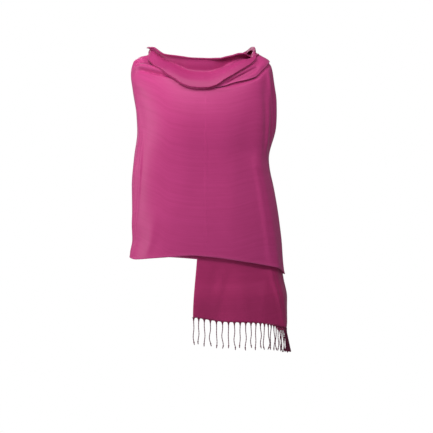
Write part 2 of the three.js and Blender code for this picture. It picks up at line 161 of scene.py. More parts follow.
# Height of fine creases: each runs along a bowed line, swells in the middle of its length and dies out
# at both ends, and its side towards the steep hand is half as wide. A row holds the angle and drop it
# runs from and to, its bow, its height (a trough is negative), its width and its steepness (-1 to 1).
def creaseHeight(angle, drop, creases):
    total = np.zeros(np.broadcast(angle, drop).shape)
    for fromAngle, fromDrop, toAngle, toDrop, bow, height, width, steep in creases:
        runAround = (toAngle - fromAngle) * form["girth"]
        runDown = toDrop - fromDrop
        length = math.hypot(runAround, runDown)
        around, down = aroundFrom(angle, fromAngle), drop - fromDrop
        part = (around * runAround + down * runDown) / length**2
        inside = np.clip(part, 0, 1)
        side = (around * runDown - down * runAround) / length - bow * 4 * inside * (1 - inside)
        spread = width * (1 - creaseForm["steepSide"] * steep * np.tanh(2 * side / width))
        beyond = (part - inside) * length / (creaseForm["past"] * width)
        middle = np.sin(np.pi * inside) ** creaseForm["swellPower"]
        swell = creaseForm["ends"] + (1 - creaseForm["ends"]) * middle
        total += height * swell * np.exp(-((side / spread) ** 2) - beyond**2)
    return total


# Slow drift of hanging cloth, under a millimetre: the sum of height * sin(round + down + shift)
def driftHeight(angle, drop, shift):
    around = angle * form["girth"]
    total = np.zeros(np.broadcast(angle, drop).shape)
    for height, lengthAround, lengthDown, turn in form["drift"]:
        total += height * np.sin(around / lengthAround + drop / lengthDown + turn * shift)
    return total


# Point of a layer of cloth that lies so far out from the form
def clothPoint(angle, drop, out):
    return formPoint(angle, drop) + formNormal(angle, drop) * (out + foldHeight(angle, drop))[..., None]


# Rise of the upper edge above the form's, the same for the cloth and for the cowl that turns over it:
# up to a peak at the left, and down where the cowl's right end opens
rim = {
    "angle": [-93, -84, -74, -66, -60, -54, -48, -42, -36, -28, -21, -12,
              0, 10, 18, 25, 32, 39, 46, 50, 54, 60, 66, 72, 94],
    "rise": [20, 19, 20, 21, 22, 18, 12, 7, 5, 3, 0.5, -3,
             -4.5, -6, -6.5, -2.5, 1, 5, 4, -1, -6, -8.5, -3, -1, 0],
    # how far down the cloth's own rise has faded out
    "fadeAngle": [-93, -82, -70, -56, -40],
    "fade": [9, 12, 22, 44, 55],
    # the cloth lies further in where the cowl hides it: how far, at which drop, over what width, and
    # the angles between which it starts and ends
    "tuck": 15,
    "tuckDrop": 27,
    "tuckWidth": 17,
    "tuckStarts": (-80, -58),
    "tuckEnds": (12, 30),
}


# The rim's rise at an angle
def rimRise(angle):
    return curveAt(rim["angle"], rim["rise"], angle)


# A grid of places: shares across and down, each with its own number of steps
def shareGrid(across, down):
    return np.meshgrid(np.linspace(0, 1, across + 1), np.linspace(0, 1, down + 1), indexing="ij")


# Angle at a share of the way across a piece
def angleAcross(piece, across):
    return piece["from"] + (piece["to"] - piece["from"]) * across


# Mesh object from points and faces, with one value pair of weave lengths for each point
def meshPiece(name, points, faces, weave, edge):
    mesh = bpy.data.meshes.new(name)
    sizes = np.array([len(face) for face in faces])
    corners = np.concatenate([np.ravel(face) for face in faces])
    mesh.vertices.add(len(points))
    mesh.vertices.foreach_set("co", (points * metre).ravel())
    mesh.loops.add(len(corners))
    mesh.loops.foreach_set("vertex_index", corners)
    mesh.polygons.add(len(sizes))
    mesh.polygons.foreach_set("loop_start", np.concatenate([[0], np.cumsum(sizes)[:-1]]))
    mesh.polygons.foreach_set("use_smooth", np.ones(len(sizes), bool))
    mesh.update(calc_edges=True)
    mesh.uv_layers.new(name="weave").data.foreach_set("uv", (weave[corners] * metre).ravel())
    mesh.attributes.new("edge", "FLOAT", "POINT").data.foreach_set("value", edge)
    piece = bpy.data.objects.new(name, mesh)
    bpy.context.scene.collection.objects.link(piece)
    return piece


# Sheet of cloth from a grid of points: the weave's lengths are the arc lengths along the grid's lines,
# counted from the middle column and the first row, and a Solidify modifier gives the cloth its wall
def sheetPiece(name, points, edgeDistance, wall):
    columns, rows = points.shape[:2]
    index = np.arange(columns * rows).reshape(columns, rows)
    quads = np.stack([index[:-1, :-1], index[:-1, 1:], index[1:, 1:], index[1:, :-1]], -1).reshape(-1, 4)
    stepsAcross = np.linalg.norm(np.diff(points, axis=0), axis=2)
    stepsDown = np.linalg.norm(np.diff(points, axis=1), axis=2)
    across = np.concatenate([np.zeros((1, rows)), np.cumsum(stepsAcross, 0)])
    down = np.concatenate([np.zeros((columns, 1)), np.cumsum(stepsDown, 1)], 1)
    across -= across[columns // 2]
    weave = np.stack([across, down], -1).reshape(-1, 2)
    # share of the lighter edge tint: denser selvedge and painted highlight where the edge catches light
    edge = 1 - np.clip(edgeDistance / selvedge, 0, 1)
    piece = meshPiece(name, points.reshape(-1, 3), quads, weave, edge.ravel())
    solidify = piece.modifiers.new("wall", "SOLIDIFY")
    solidify.thickness = wall * metre
    solidify.offset = 0
    size = (np.ptp(across, axis=0).mean(), np.ptp(down, axis=1).mean())
    print(f"{name}: {size[0]:.0f} mm by {size[1]:.0f} mm of cloth, {len(quads)} faces")
    return piece


# What every sheet needs: its material, the body it rides on and the CAD nodes it stands for
def finishPiece(piece, material, nodes):
    piece.data.materials.append(material)
    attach(piece, "root")
    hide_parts(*nodes)


# Node of a material's tree, with its own settings
def addNode(tree, kind, **settings):
    node = tree.nodes.new(kind)
    for name, value in settings.items():
        setattr(node, name, value)
    return node


# Arithmetic on two values of a node tree, numbers or sockets
def combine(tree, operation, first, second):
    node = addNode(tree, "ShaderNodeMath", operation=operation)
    for socket, value in zip(node.inputs, (first, second)):
        if isinstance(value, (int, float)):
            socket.default_value = value
        else:
            tree.links.new(value, socket)
    return node.outputs[0]


# The cloth's colours, gloss and weave
clothLook = {
    "deep": (0.460, 0.0280, 0.1640, 1),
    "light": (0.600, 0.0520, 0.2450, 1),
    # lighter tint at the edges: denser selvedge and painted highlight where an edge catches light
    "edgeHighlightTint": (0.78, 0.11, 0.36, 1),
    "threadPitch": 0.0009,  # metres from thread to thread
    "roughness": 0.56,
    "specular": 0.38,
    "sheen": 0.16,
    "sheenRoughness": 0.4,
    "sheenTint": (1.0, 0.7, 0.92, 1),
    "edgeHighlightShare": 0.6,  # how much of the lighter tint an edge takes: denser selvedge and painted highlight
    # noise on the weave's lengths: scale across and down, detail, roughness
    "noise": {
        "slub": (14, 420, 3, 0.6),
        "band": (3, 110, 2, 0.6),
        "nap": (1500, 1500, 2, 0.6),
        "cloud": (9, 7, 2, 0.5),
    },
    # shares of the way from deep to light, and what is taken off their sum
    "shade": {"slub": 0.55, "nap": 0.35, "cloud": 0.4, "band": 0.6, "threads": 0.06},
    "shadeLess": 0.47,
    "ribShare": 0.6,
    # shares of the bump's height
    "height": {"threads": 0.35, "nap": 0.5, "slub": 0.9},
    "bumpStrength": 0.55,
    "bumpDepth": 0.00008,  # metres
}


# Noise stretched along the weave
def clothNoise(tree, weave, scaleAcross, scaleDown, detail, roughness):
    mapping = addNode(tree, "ShaderNodeMapping")
    mapping.inputs["Scale"].default_value = (scaleAcross, scaleDown, 1)
    tree.links.new(weave.outputs[0], mapping.inputs[0])
    texture = addNode(tree, "ShaderNodeTexNoise")
    texture.inputs["Scale"].default_value = 1
    texture.inputs["Detail"].default_value = detail
    texture.inputs["Roughness"].default_value = roughness
    tree.links.new(mapping.outputs[0], texture.inputs["Vector"])
    return texture.outputs["Fac"]


# Sum of the named parts, each times its share
def mixParts(tree, parts, shares):
    total = 0.0
    for name, share in shares.items():
        total = combine(tree, "ADD", total, combine(tree, "MULTIPLY", parts[name], share))
    return total


# Fine twill: threads across and along, and a diagonal rib over two of them; slubs are noise drawn out along
# the weft; the nap is fine noise; the last millimetres at an edge take a lighter tint, for the denser
# selvedge and as a painted highlight where the edge catches light
def shawlCloth(name, look):
    material = bpy.data.materials.new(name)
    material.use_nodes = True
    tree = material.node_tree
    shader = tree.nodes["Principled BSDF"]
    shader.inputs["Roughness"].default_value = look["roughness"]
    shader.inputs["Specular IOR Level"].default_value = look["specular"]
    shader.inputs["Sheen Weight"].default_value = look["sheen"]
    shader.inputs["Sheen Roughness"].default_value = look["sheenRoughness"]
    shader.inputs["Sheen Tint"].default_value = look["sheenTint"]

    weave = addNode(tree, "ShaderNodeUVMap", uv_map="weave")
    lengths = addNode(tree, "ShaderNodeSeparateXYZ")
    tree.links.new(weave.outputs[0], lengths.inputs[0])
    turn = 2 * math.pi / look["threadPitch"]
    weft = combine(tree, "SINE", combine(tree, "MULTIPLY", lengths.outputs[1], turn), 0)
    warp = combine(tree, "SINE", combine(tree, "MULTIPLY", lengths.outputs[0], turn), 0)
    diagonal = combine(tree, "ADD", lengths.outputs[0], lengths.outputs[1])
    rib = combine(tree, "SINE", combine(tree, "MULTIPLY", diagonal, turn / 2), 0)
    crossing = combine(tree, "MULTIPLY", weft, warp)
    parts = {name: clothNoise(tree, weave, *row) for name, row in look["noise"].items()}
    parts["threads"] = combine(tree, "ADD", crossing, combine(tree, "MULTIPLY", rib, look["ribShare"]))

    shade = combine(tree, "SUBTRACT", mixParts(tree, parts, look["shade"]), look["shadeLess"])
    colour = addNode(tree, "ShaderNodeMix", data_type="RGBA")
    tree.links.new(shade, colour.inputs["Factor"])
    colour.inputs["A"].default_value = look["deep"]
    colour.inputs["B"].default_value = look["light"]
    # the edge's lighter tint: painted highlight where an edge catches light, on the denser selvedge
    edge = addNode(tree, "ShaderNodeAttribute", attribute_name="edge")
    edgeHighlighted = addNode(tree, "ShaderNodeMix", data_type="RGBA")
    edgeHighlightAmount = combine(tree, "MULTIPLY", edge.outputs["Fac"], look["edgeHighlightShare"])
    tree.links.new(edgeHighlightAmount, edgeHighlighted.inputs["Factor"])
    tree.links.new(colour.outputs["Result"], edgeHighlighted.inputs["A"])
    edgeHighlighted.inputs["B"].default_value = look["edgeHighlightTint"]
    tree.links.new(edgeHighlighted.outputs["Result"], shader.inputs["Base Color"])

    bump = addNode(tree, "ShaderNodeBump")
    bump.inputs["Strength"].default_value = look["bumpStrength"]
    bump.inputs["Distance"].default_value = look["bumpDepth"]
    tree.links.new(mixParts(tree, parts, look["height"]), bump.inputs["Height"])
    tree.links.new(bump.outputs[0], shader.inputs["Normal"])
    return material


# The end that hangs below, the double cowl and the fold round the neck are deeper copies of the same cloth:
# painted shade for the shade they sit in, deepest in the fold round the neck
shadedTailLook = {
    **clothLook,
    "deep": (0.410, 0.0180, 0.1220, 1),
    "light": (0.520, 0.0300, 0.1750, 1),
}
shadedCowlLook = {
    **clothLook,
    "deep": (0.370, 0.0190, 0.1280, 1),
    "light": (0.465, 0.0320, 0.1770, 1),
}
shadedNeckLook = {
    **clothLook,
    "deep": (0.325, 0.0155, 0.1060, 1),
    "light": (0.400, 0.0255, 0.1440, 1),
}
clothMaterial = shawlCloth("pashminaCloth", clothLook)
shadedTailMaterial = shawlCloth("shadedTailCloth", shadedTailLook)
shadedCowlMaterial = shawlCloth("shadedCowlCloth", shadedCowlLook)
shadedNeckMaterial = shawlCloth("shadedNeckCloth", shadedNeckLook)

# Outer sheet: across the front and round the right side to the fringed end at the back
outerSheet = {
    "from": -93,
    "to": 139,
    "across": 262,
    "down": 180,
    "wall": 1.1,
    "crowding": 1.45,
    "settles": (0, 40),  # drops between which creases and drift come in
    "driftShift": 0.4,
    "hemCurl": 1.3,
    "hemWidth": 4,
    "hemAngle": [-93, -80, -58, -30, -8, 8, 30, 60, 84, 139],
    "hem": [575, 584, 593, 587, 581, 586, 600, 622, 637, 641],
    "creases": [
        (3.6, 60, 3.6, 590, 0, 0.35, 2.2, 0),  # the line where the cloth was pressed
        (-61, 62, -31, 53, 8, 6.5, 6, -0.5),  # left shoulder: ridge, then the sharp line under it
        (-57, 67, -28, 59, 3, -12, 4.6, 0),
        (14, 88, 50, 78.5, 0, -5, 4.5, 0),  # under the shoulder fold's lower edge
        (44, 81, 62, 68, 0, -5, 4.5, 0),
        (56, 70.5, 92, 61.5, 0, -5, 4.5, 0),
        (-78, 62, -66, 28, 0, 2.4, 6, 0),
        (-69, 62, -60, 30, 0, -3.4, 4.5, 0),
        (-80, 96, -46, 120, 5, 1.4, 12, 0.3),
        (-57.5, 225, -56, 400, 5, 3, 5.5, 0.3),  # the bright ridge near the left side
        (-56, 385, -69, 572, 6, 3, 6, 0.3),
        (-38, 470, -45, 592, 0, 2.6, 15, 0.3),
        (-12, 250, -30, 520, 14, 1.3, 30, 0),
        (30, 300, 22, 560, -10, 1.6, 26, 0),
        (-78, 110, -48, 150, -6, 1.2, 12, 0),
        (66, 92, 80, 240, 3, 5, 8, 0.2),  # the ridge down the right side
        (58, 110, 62, 300, 0, -2, 12, 0),
        (46, 300, 48.5, 612, 0, 3.2, 8, -0.3),
        (82, 330, 78, 600, 5, 2.6, 14, 0),
        (-84, 200, -82, 470, 5, 2.2, 12, 0),
        (104, 120, 98, 480, 8, 3.2, 15, 0.2),
        (128, 160, 124, 600, -7, 3, 16, 0),
    ],
}


# A hem curls out: curl * exp(-(way from the hem / width)^2)
def hemCurl(hem, drop):
    return outerSheet["hemCurl"] * np.exp(-(((hem - drop) / outerSheet["hemWidth"]) ** 2))


# Angle evenly across, drop = hem * down^crowding; out = creases + drift + the hem's curl, less
# tuck * exp(-((drop - its own drop) / width)^2) under the cowl
def makeOuterSheet():
    across, down = shareGrid(outerSheet["across"], outerSheet["down"])
    angle = angleAcross(outerSheet, across)
    hem = curveAt(outerSheet["hemAngle"], outerSheet["hem"], angle)
    drop = hem * down ** outerSheet["crowding"]
    fine = creaseHeight(angle, drop, outerSheet["creases"])
    fine += driftHeight(angle, drop, outerSheet["driftShift"])
    out = easeBetween(*outerSheet["settles"], drop) * fine + hemCurl(hem, drop)
    hidden = easeBetween(*rim["tuckStarts"], angle) * (1 - easeBetween(*rim["tuckEnds"], angle))
    out -= rim["tuck"] * np.exp(-(((drop - rim["tuckDrop"]) / rim["tuckWidth"]) ** 2)) * hidden
    points = clothPoint(angle, drop, out)
    fade = curveAt(rim["fadeAngle"], rim["fade"], angle)
    points[..., 2] += rimRise(angle) * (1 - easeBetween(0, fade, drop))
    return sheetPiece("outerSheet", points, hem - drop, outerSheet["wall"])


outerPiece = makeOuterSheet()
finishPiece(outerPiece, clothMaterial, ["front_panel", "wrapped_end"])

# Back sheet: from under the wrapped end round the back to the left side
backSheet = {
    "from": 128.3,
    "to": 267,
    "across": 170,
    "down": 160,
    "wall": 1.1,
    "layerStep": 7,
    "tailFree": 5,
    "freeFrom": (650, 710),  # drops between which an under layer comes free of the hem above it
    "comesOut": (150, 225),  # angles between which the sheet comes out from under the wrapped end
    "settles": (0, 60),  # drops and angles between which creases and drift come in
    "settlesRound": (136, 160),
    "driftEnds": (255, 267),
    "driftShift": 1.7,
    "hemAngle": [128, 140, 156, 185, 225, 267],
    "hem": [810, 690, 618, 596, 586, 575],
    "creases": [
        (160, 90, 150, 420, 12, 3, 16, 0.2),
        (190, 240, 196, 560, -8, 2.8, 20, 0),
        (214, 60, 190, 200, 10, 2.6, 13, 0.4),
        (222, 250, 226, 560, 6, 3, 17, 0),
        (246, 70, 216, 150, 8, 3, 10, 0.5),
        (250, 190, 246, 500, -8, 3, 18, 0.2),
        (180, 60, 172, 150, 0, 2, 12, 0),
    ],
}


# How far out an under layer lies: one step in, and freer below the front hem
def underLayer(drop):
    return -backSheet["layerStep"] + backSheet["tailFree"] * easeBetween(*backSheet["freeFrom"], drop)


# As the outer sheet, but one layer in where it runs under the wrapped end
def makeBackSheet():
    across, down = shareGrid(backSheet["across"], backSheet["down"])
    angle = angleAcross(backSheet, across)
    hem = curveAt(backSheet["hemAngle"], backSheet["hem"], angle)
    drop = hem * down ** outerSheet["crowding"]
    under = 1 - easeBetween(*backSheet["comesOut"], angle)
    fineness = easeBetween(*backSheet["settles"], drop) * easeBetween(*backSheet["settlesRound"], angle)
    drift = driftHeight(angle, drop, backSheet["driftShift"])
    fine = creaseHeight(angle, drop, backSheet["creases"])
    fine += drift * (1 - easeBetween(*backSheet["driftEnds"], angle))
    points = clothPoint(angle, drop, underLayer(drop) * under + fineness * fine + hemCurl(hem, drop))
    return sheetPiece("backSheet", points, hem - drop, backSheet["wall"])


backPiece = makeBackSheet()
finishPiece(backPiece, clothMaterial, ["back_panel"])

# Tail: the hanging end, under the front and free below its hem
tailSheet = {
    "seam": 128,
    "across": 150,
    "down": 190,
    "wall": 1.1,
    "hemAngle": [-8, 14, 34, 60, 84, 128],
    "hem": [764, 777, 780, 796, 804, 810],
    "length": 800,
    "edgeDrop": [0, 150, 330, 600, 800],
    "edge": [38, 14, 0, -3.5, -7],
    "shows": (600, 650),  # drops between which creases and drift come in
    "driftShift": 3.1,
    "drawIn": 6,  # how far the free end hangs in, and the drops over which it gets there
    "drawsIn": (690, 800),
    "creases": [
        (17, 596, 8, 745, 0, 1.8, 10, 0.3),
        (24, 640, 28, 780, 3, 1.2, 12, 0),
        (48.5, 612, 59, 800, -6, 5.5, 5.5, 0.4),  # the long ridge at the right
        (44, 640, 40, 770, -4, 1.6, 12, 0),
        (92, 620, 96, 800, 4, 2.4, 14, 0),
    ],
}


# Angle across the tail, from its slanting inner edge to the seam at the back
def tailAngle(across, down):
    drop = tailSheet["length"] * down ** outerSheet["crowding"]
    inner = curveAt(tailSheet["edgeDrop"], tailSheet["edge"], drop)
    return inner + (tailSheet["seam"] - inner) * across


# Point of the tail: an under layer with its creases and drift, drawn in where it hangs free
def tailPoint(angle, drop):
    fine = creaseHeight(angle, drop, tailSheet["creases"])
    fine += driftHeight(angle, drop, tailSheet["driftShift"])
    out = underLayer(drop) + easeBetween(*tailSheet["shows"], drop) * fine
    return clothPoint(angle, drop, out - tailSheet["drawIn"] * easeBetween(*tailSheet["drawsIn"], drop))


# As the outer sheet, with no lighter edge tint (selvedge and painted highlight)
def makeTailSheet():
    across, down = shareGrid(tailSheet["across"], tailSheet["down"])
    angle = tailAngle(across, down)
    hem = curveAt(tailSheet["hemAngle"], tailSheet["hem"], angle)
    drop = hem * down ** outerSheet["crowding"]
    points = tailPoint(angle, drop)
    return sheetPiece("tailSheet", points, np.full(drop.shape, selvedge), tailSheet["wall"])


tailPiece = makeTailSheet()
# the hanging end's cloth is darkened as painted shade
finishPiece(tailPiece, shadedTailMaterial, ["hanging_end"])

# Cowl: the upper edge turned over the rim and down over the front
cowl = {
    "from": -91,
    "to": 82,
    "across": 250,
    "down": 70,
    "wall": 1.1,
    "edgeAngle": [-91, -74, -62, -50, -43, -36, -28, -21, -15, -8, -1,
                  5, 11, 19, 29, 39, 48, 55, 61, 70, 82],
    "edge": [7, 18, 31, 40, 46, 50, 59, 69, 81, 88.5, 90.5,
             90, 85, 70, 58, 52, 48, 43, 37, 20, 8],
    # how full the roll is, and how far out it rides on what lies under it
    "rollAngle": [-91, -74, -60, -48, -36, -28, -15, 5, 18, 30, 47, 60, 72, 82],
    "fullness": [0.3, 0.4, 0.45, 0.6, 0.75, 0.9, 1, 1, 0.95, 0.85, 0.7, 0.55, 0.45, 0.35],
    "ride": [2.4, 2.4, 2.4, 2.4, 2.4, 2.4, 2.4, 3.4, 7.6, 8.6, 9, 8.6, 7.5, 6],
    # across the roll from its start above the rim to its lower edge: share of the drop, lift of the
    # lip, and way out
    "share": [0, 0.07, 0.14, 0.21, 0.4, 0.6, 0.78, 0.92, 1],
    "fall": [0, 0, 0, 0.04, 0.32, 0.56, 0.8, 0.98, 1],
    "up": [0, 2.2, 2.6, 0.4, 0, 0, 0, 0, 0],
    "out": [0, 3, 12, 21, -11, 0, 8, 10.5, -0.8],
    # shares down: where the ride comes in, the creases come in and go out, and the rim's rise fades
    "rideStarts": (0, 0.2),
    "creasesStart": (0.2, 0.4),
    "creasesEnd": (0.85, 1),
    "riseFades": (0.3, 1),
    "creases": [
        (-80, 2, -60, 6, 1, 2.2, 5, 0),
        (-66, 16, -48, 12, 0, -2, 6, 0),
        (-50, 30, 6, 66, -12, 1.6, 14, 0),
        (20, 22, 58, 20, -3, -1.8, 8, 0),
        (30, 44, 60, 26, -2, 1.6, 7, 0),
    ],
}


# Drop = edge * fall, out = out * fullness + ride + creases, and the rim's rise fades on the way down;
# the selvedge lies along the lower edge
def makeCowl():
    across, down = shareGrid(cowl["across"], cowl["down"])
    angle = angleAcross(cowl, across)
    edge = curveAt(cowl["edgeAngle"], cowl["edge"], angle)
    drop = edge * curveAt(cowl["share"], cowl["fall"], down)
    out = curveAt(cowl["share"], cowl["out"], down) * curveAt(cowl["rollAngle"], cowl["fullness"], angle)
    out += curveAt(cowl["rollAngle"], cowl["ride"], angle) * easeBetween(*cowl["rideStarts"], down)
    creased = easeBetween(*cowl["creasesStart"], down) * (1 - easeBetween(*cowl["creasesEnd"], down))
    out += creaseHeight(angle, drop, cowl["creases"]) * creased
    points = clothPoint(angle, drop, out)
    points[..., 2] += rimRise(angle) * (1 - easeBetween(*cowl["riseFades"], down))
    points[..., 2] += curveAt(cowl["share"], cowl["up"], down)
    steps = np.linalg.norm(np.diff(points, axis=1), axis=2)
    length = np.concatenate([np.zeros((len(points), 1)), np.cumsum(steps, 1)], 1)
    return sheetPiece("cowlFold", points, length[:, -1:] - length, cowl["wall"])


cowlPiece = makeCowl()
# the cowl's cloth is darkened as painted shade
finishPiece(cowlPiece, shadedCowlMaterial, ["cowl"])

# Shoulder fold: the band that comes out from under the cowl at the right, with a pocket pinched in it
shoulderFold = {
    "across": 170,
    "down": 60,
    "wall": 1.1,
    "angle": [2, 8, 18, 25, 31, 38, 46, 56, 66, 74, 87],
    "top": [66, 62, 54, 49, 44, 40, 36, 29, 24, 20, 18],
    "edge": [82, 88, 84.5, 79, 77.5, 78, 77, 68, 63.5, 61.5, 60],
    "creases": [
        (52, 50, 22, 74, -3, 2.6, 6, 0.3),
        (50, 58, 22, 77, -4, -10, 5.5, -0.4),
        (66, 44, 48, 56, 0, -2, 6, 0),
    ],
    "creasesEnd": 0.15,  # share from the lower edge
    "ride": 2.4,
    "roll": 6,
    "rollPower": 0.8,
    # how much lower the roll gets towards the right, in all and more at its top
    "settles": 0.5,
    "settlesTop": 0.14,
    "least": 1.4,  # it never lies further in than this
}


# Out = (ride + roll * sin(pi * down^power)) * settling, so the band rolls out and tucks in again at its
# lower edge
def makeShoulderFold():
    across, down = shareGrid(shoulderFold["across"], shoulderFold["down"])
    start, stop = shoulderFold["angle"][0], shoulderFold["angle"][-1]
    angle = start + (stop - start) * across
    top = curveAt(shoulderFold["angle"], shoulderFold["top"], angle)
    bottom = curveAt(shoulderFold["angle"], shoulderFold["edge"], angle)
    drop = top + (bottom - top) * down
    settling = 1 - across * (shoulderFold["settles"] + shoulderFold["settlesTop"] * (1 - down))
    roll = shoulderFold["ride"] + shoulderFold["roll"] * np.sin(np.pi * down ** shoulderFold["rollPower"])
    pinch = creaseHeight(angle, drop, shoulderFold["creases"])
    pinch *= easeBetween(0, shoulderFold["creasesEnd"], 1 - down)
    points = clothPoint(angle, drop, np.maximum(roll * settling + pinch, shoulderFold["least"]))
    return sheetPiece("shoulderFold", points, bottom - drop, shoulderFold["wall"])


shoulderPiece = makeShoulderFold()
finishPiece(shoulderPiece, clothMaterial, ["shoulder_fold"])

# Neck fold: the upper edge turned down round the back of the neck, standing up over both shoulders
neckFold = {
    "from": 88.6,
    "to": 269,
    "across": 240,
    "down": 60,
    "wall": 1.1,
    "angle": [88, 104, 116, 124, 140, 180, 220, 238, 256, 272],
    "stand": [14, 26, 29, 24, 17, 4, 9, 17, 19, 13],
    "depth": [16, 32, 42, 47, 54, 60, 54, 46, 32, 16],
    "fullness": [0.2, 0.45, 0.6, 0.75, 1, 1, 1, 0.7, 0.4, 0.06],
    # at the right the inner edge curls in and hangs clear, so the hollow under it is dark
    "curlAngle": [88, 96, 110, 126, 142],
    "curl": [0.2, 0.55, 0.62, 0.45, 0],
    "share": [0, 0.2, 0.36, 0.55, 0.8, 1],
    "fall": [0, 0, 0, 0.2, 0.7, 1],
    "up": [0, 1, 0.8, 0, 0, 0],
    "out": [0, 1.5, 8, 12, 13, 6],
    "curlIn": 11,
    # shares down between which the curl ends and the creases come in
    "curlEnds": (0, 0.2),
    "creasesStart": (0.35, 0.6),
    "clear": 0.6,  # above the cloth's upper edge
    "length": 60,  # from its inner edge to its lower one
    "creases": [(130, 10, 170, 34, 4, 2.4, 7, 0.3), (190, 30, 232, 12, -4, 2.2, 7, 0.3)],
}


# As the cowl; the curl lifts the inner edge by its share of the stand and brings it in by curl * curlIn
def makeNeckFold():
    across, down = shareGrid(neckFold["across"], neckFold["down"])
    angle = angleAcross(neckFold, across)
    place = {key: curveAt(neckFold["angle"], neckFold[key], angle) for key in ("stand", "depth", "fullness")}
    roll = {key: curveAt(neckFold["share"], neckFold[key], down) for key in ("fall", "up", "out")}
    drop = place["depth"] * roll["fall"]
    out = place["fullness"] * roll["out"]
    out += creaseHeight(angle, drop, neckFold["creases"]) * easeBetween(*neckFold["creasesStart"], down)
    curl = curveAt(neckFold["curlAngle"], neckFold["curl"], angle)
    curl *= 1 - easeBetween(*neckFold["curlEnds"], down)
    points = clothPoint(angle, drop, out - neckFold["curlIn"] * curl)
    points[..., 2] += neckFold["clear"] + place["stand"] * (roll["up"] + curl)
    return sheetPiece("neckFold", points, neckFold["length"] * (1 - down), neckFold["wall"])


neckPiece = makeNeckFold()
# the neck fold's cloth is darkened most, as painted shade
finishPiece(neckPiece, shadedNeckMaterial, ["neck_fold"])

# Fringes: twisted strands, gathered out of the cloth's edge and knotted near their tips
fringe = {
    "count": 46,
    "length": 80,
    "shorter": 14,
    "steps": 30,
    "sides": 10,
    "radius": 1.35,
    "gather": 4.2,  # half the width of cloth that goes into one strand
    "gatherLength": 4,
    "twist": 5,  # turns along a strand
    "plies": 2,
    "plyDepth": 0.22,
    "flatten": 0.45,  # where it leaves the cloth
    # parts of the radius, and shares of the strand's length
    "body": 0.9,
    "knot": 0.5,
    "knotPlace": 0.9,
    "knotLength": 0.022,
    "tuft": 0.45,
    "tuftStarts": (0.925, 0.97),
    "tipLength": 0.015,
    "lengthSpread": 0.05,
}


# Small uneven number for each strand, the same in every run, between -1 and 1
def uneven(strand, salt):
    return np.sin(strand * 12.9 + salt * 4.7) * np.cos(strand * 3.3 + salt * 1.9)


# Plies twisted round each other: the radius is r * (1 + plyDepth * cos(plies * (bearing - twist))),
# wider across where the strand leaves the cloth, thicker at the knot, and drawn to a point at its tip
def strandPiece(name, paths, flatWay, material):
    strands, steps = paths.shape[:2]
    sides = fringe["sides"]
    part = np.linspace(0, 1, steps)[None, :, None]
    forward = np.gradient(paths, axis=1)
    forward /= np.linalg.norm(forward, axis=2, keepdims=True)
    out = np.cross(forward, flatWay)
    out /= np.linalg.norm(out, axis=2, keepdims=True)
    wide = np.cross(out, forward)
    stepLength = np.linalg.norm(np.diff(paths, axis=1), axis=2)
    length = np.concatenate([np.zeros((strands, 1)), np.cumsum(stepLength, 1)], 1)[:, :, None]
    bearing = (np.arange(sides) / sides * 2 * np.pi)[None, None, :]
    knot = fringe["knot"] * np.exp(-(((part - fringe["knotPlace"]) / fringe["knotLength"]) ** 2))
    tuft = fringe["tuft"] * easeBetween(*fringe["tuftStarts"], part)
    tip = np.clip((part - 1 + fringe["tipLength"]) / fringe["tipLength"], 0, 1)
    ends = np.sqrt(np.clip(1 - tip**2, 0.02, 1))
    twist = 2 * np.pi * fringe["twist"] * part
    lobes = 1 + fringe["plyDepth"] * np.cos(fringe["plies"] * (bearing - twist))
    radius = fringe["radius"] * (fringe["body"] + knot + tuft) * ends
    root = np.exp(-length / fringe["gatherLength"])
    acrossSize = radius * lobes + fringe["gather"] * root
    outSize = radius * lobes * (1 - fringe["flatten"] * root)
    ring = (
        paths[:, :, None]
        + wide[:, :, None] * (acrossSize * np.cos(bearing))[..., None]
        + out[:, :, None] * (outSize * np.sin(bearing))[..., None]
    )
    index = np.arange(strands * steps * sides).reshape(strands, steps, sides)
    a, b = index[:, :-1], np.roll(index, -1, axis=2)[:, :-1]
    c, d = np.roll(index, -1, axis=2)[:, 1:], index[:, 1:]
    quads = np.stack([a, b, c, d], -1).reshape(-1, 4)
    caps = [*index[:, 0, ::-1], *index[:, -1]]
    weaveAround = np.broadcast_to(bearing * fringe["radius"], ring.shape[:3])
    weaveAlong = np.broadcast_to(length, ring.shape[:3])
    weave = np.stack([weaveAround, weaveAlong], -1).reshape(-1, 2)
    points = ring.reshape(-1, 3)
    piece = meshPiece(name, points, [*quads, *caps], weave, np.zeros(len(points)))
    piece.data.materials.append(material)
    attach(piece, "root")
    print(f"{name}: {strands} strands")
    return piece


# The fringe's yarn, darker and duller
fringeLook = {
    **clothLook,
    "deep": (0.110, 0.0070, 0.0340, 1),
    "light": (0.210, 0.0150, 0.0700, 1),
    "edgeHighlightTint": (0.50, 0.045, 0.19, 1),
    "threadPitch": 0.0006,
    "roughness": 0.7,
    "specular": 0.25,
}
fringeMaterial = shawlCloth("fringeYarn", fringeLook)

# How the front strands leave the hem, lean, sway and ripple
frontHang = {
    "rootUp": 0.5,  # of a strand's root, above the hem
    "firstPlace": 0.15,
    "crowding": 0.06,  # towards the right end
    "lean": 9,  # degrees outward at the side, and the angles between which it comes
    "leans": (60, 100),
    "shortens": (20, 90),
    "sway": 6,
    "swayTurns": 3,
    "ripple": 2,
    "rippleSpread": 1.2,
    "rippleTurns": 1.5,
    "swing": 2,
}


